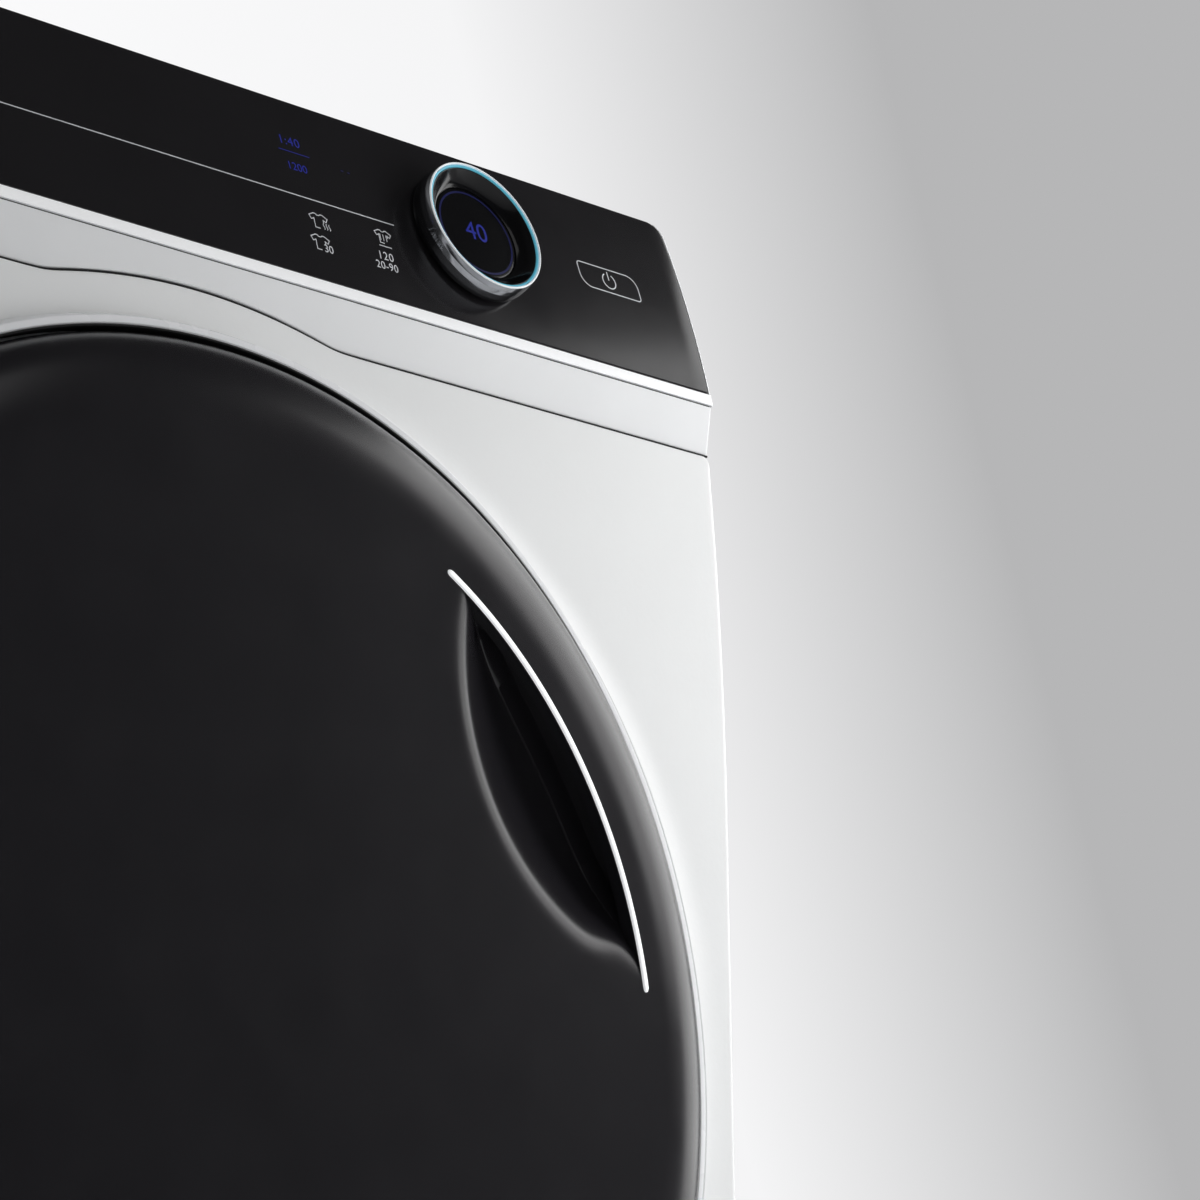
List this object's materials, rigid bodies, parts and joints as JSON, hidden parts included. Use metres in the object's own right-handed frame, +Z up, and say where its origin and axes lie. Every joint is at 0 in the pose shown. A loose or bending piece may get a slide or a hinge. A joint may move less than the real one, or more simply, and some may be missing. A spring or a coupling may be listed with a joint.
{
  "type": "washer dryer",
  "caption": "Front-loading washer dryer: white cabinet, curved dark control panel with a lit dial, and a large round dark door with a scooped pull over a turning drum.",
  "frame": {"origin": "on the floor, under the middle of the overall box", "axes": "+X to the right of someone facing the door, +Y from the front to the rear, +Z up"},
  "size_m": [0.595, 0.6, 0.85],
  "materials": {
    "white_enamel": "smooth white powder enamel",
    "white_plastic": "bright white moulding",
    "band_plastic": "white moulding",
    "white_board": "white laminated board",
    "base_plastic": "dark textured moulding",
    "galvanised": "galvanised sheet",
    "grey_plastic": "grey moulding",
    "black_gloss": "polished black",
    "door_gloss": "polished black",
    "bright_chrome": "bright plated",
    "lit_ring": "white light guide",
    "board_green": "circuit board",
    "clear_glass": "clear bowl",
    "grey_rubber": "soft grey rubber",
    "black_rubber": "black rubber",
    "tub_plastic": "filled grey moulding",
    "weight_iron": "rough casting",
    "stainless": "stainless sheet",
    "steel": "bright steel",
    "cast_alloy": "sand-cast alloy",
    "motor_core": "laminated core with windings",
    "blue_plastic": "blue moulding"
  },
  "bodies": {
    "cabinet": {"side_panels": "white_enamel", "rear_panel": "white_enamel", "front_panel": "white_enamel", "door_surround": "white_plastic", "plinth_panel": "white_plastic", "worktop": "white_board", "base_tray": "base_plastic", "rear_cover": "galvanised", "transit_plugs": "grey_plastic", "cable_gland": "base_plastic", "console_housing": "band_plastic", "control_panel": "black_gloss", "display_board": "board_green", "knob_dish": "black_gloss", "knob_display": "black_gloss", "dispenser_housing": "tub_plastic", "inlet_valve": "white_plastic", "sump_hose": "black_rubber", "drain_pump": "grey_plastic", "drain_hose": "grey_plastic", "hinge_bracket": "cast_alloy", "hinge_pins": "steel", "door_lock": "base_plastic", "door_gasket": "grey_rubber", "tub_front": "tub_plastic", "tub_rear": "tub_plastic", "counterweights": "weight_iron", "suspension_springs": "steel", "dampers": "grey_plastic", "wash_heater": "steel", "drum_bearings": "steel", "motor_stator": "motor_core", "drying_duct": "cast_alloy", "fan_motor": "base_plastic", "duct_heater": "steel", "condenser": "tub_plastic"},
    "door": {"door_cover": "door_gloss", "door_strip": "bright_chrome", "door_frame": "white_plastic", "door_glass": "clear_glass", "hinge_arms": "cast_alloy"},
    "latch": {"door_hook": "steel"},
    "knob": {"knob_sleeve": "bright_chrome", "knob_rim": "lit_ring"},
    "drawer": {"drawer_front": "band_plastic", "drawer_panel": "black_gloss", "drawer_tray": "grey_plastic"},
    "dosing_flap": {"liquid_flap": "blue_plastic"},
    "drum": {"drum": "stainless", "drum_lifters": "grey_plastic", "drum_spider": "cast_alloy", "drum_shaft": "steel", "motor_rotor": "steel"},
    "fan": {"fan_impeller": "base_plastic"},
    "filter_door": {"filter_flap": "white_plastic"},
    "filter_plug": {"filter_cap": "grey_plastic"},
    "foot_front_left": {"foot_front_left": "black_rubber"},
    "foot_front_right": {"foot_front_right": "black_rubber"},
    "foot_rear_left": {"foot_rear_left": "black_rubber"},
    "foot_rear_right": {"foot_rear_right": "black_rubber"}
  },
  "joints": [
    {"name": "door_hinge", "type": "hinge", "parent": "cabinet", "child": "door", "pos_m": [-0.266, -0.282, 0.449], "axis": [0, 0, -1], "range_deg": [0, 130]},
    {"name": "latch_pivot", "type": "hinge", "parent": "door", "child": "latch", "pos_m": [0.222, -0.265, 0.449], "axis": [0, 0, 1], "range_deg": [0, 5], "stiffness_Nm_per_rad": 0.05},
    {"name": "knob_turn", "type": "hinge", "parent": "cabinet", "child": "knob", "pos_m": [0.1603, -0.25581, 0.8047], "axis": [0, -0.9455, 0.3256], "continuous": true},
    {"name": "drawer_slide", "type": "slide", "parent": "cabinet", "child": "drawer", "axis": [0, -1, 0], "range_m": [0, 0.17]},
    {"name": "dosing_flap_hinge", "type": "hinge", "parent": "drawer", "child": "dosing_flap", "pos_m": [-0.242, -0.134, 0.7925], "axis": [1, 0, 0], "range_deg": [0, 70]},
    {"name": "drum_spin", "type": "hinge", "parent": "cabinet", "child": "drum", "pos_m": [0, 0.221, 0.449], "axis": [0, 1, 0], "continuous": true},
    {"name": "fan_spin", "type": "hinge", "parent": "cabinet", "child": "fan", "pos_m": [0.08, 0.095, 0.78], "axis": [0, 0, 1], "continuous": true},
    {"name": "filter_door_hinge", "type": "hinge", "parent": "cabinet", "child": "filter_door", "pos_m": [0.21, -0.27375, 0.039], "axis": [1, 0, 0], "range_deg": [0, 90]},
    {"name": "filter_plug_turn", "type": "hinge", "parent": "cabinet", "child": "filter_plug", "pos_m": [0.21, -0.246, 0.067], "axis": [0, -1, 0], "range_deg": [0, 360]},
    {"name": "foot_front_left_screw", "type": "slide", "parent": "cabinet", "child": "foot_front_left", "axis": [0, 0, -1], "range_m": [0, 0.012]},
    {"name": "foot_front_right_screw", "type": "slide", "parent": "cabinet", "child": "foot_front_right", "axis": [0, 0, -1], "range_m": [0, 0.012]},
    {"name": "foot_rear_left_screw", "type": "slide", "parent": "cabinet", "child": "foot_rear_left", "axis": [0, 0, -1], "range_m": [0, 0.012]},
    {"name": "foot_rear_right_screw", "type": "slide", "parent": "cabinet", "child": "foot_rear_right", "axis": [0, 0, -1], "range_m": [0, 0.012]}
  ]
}
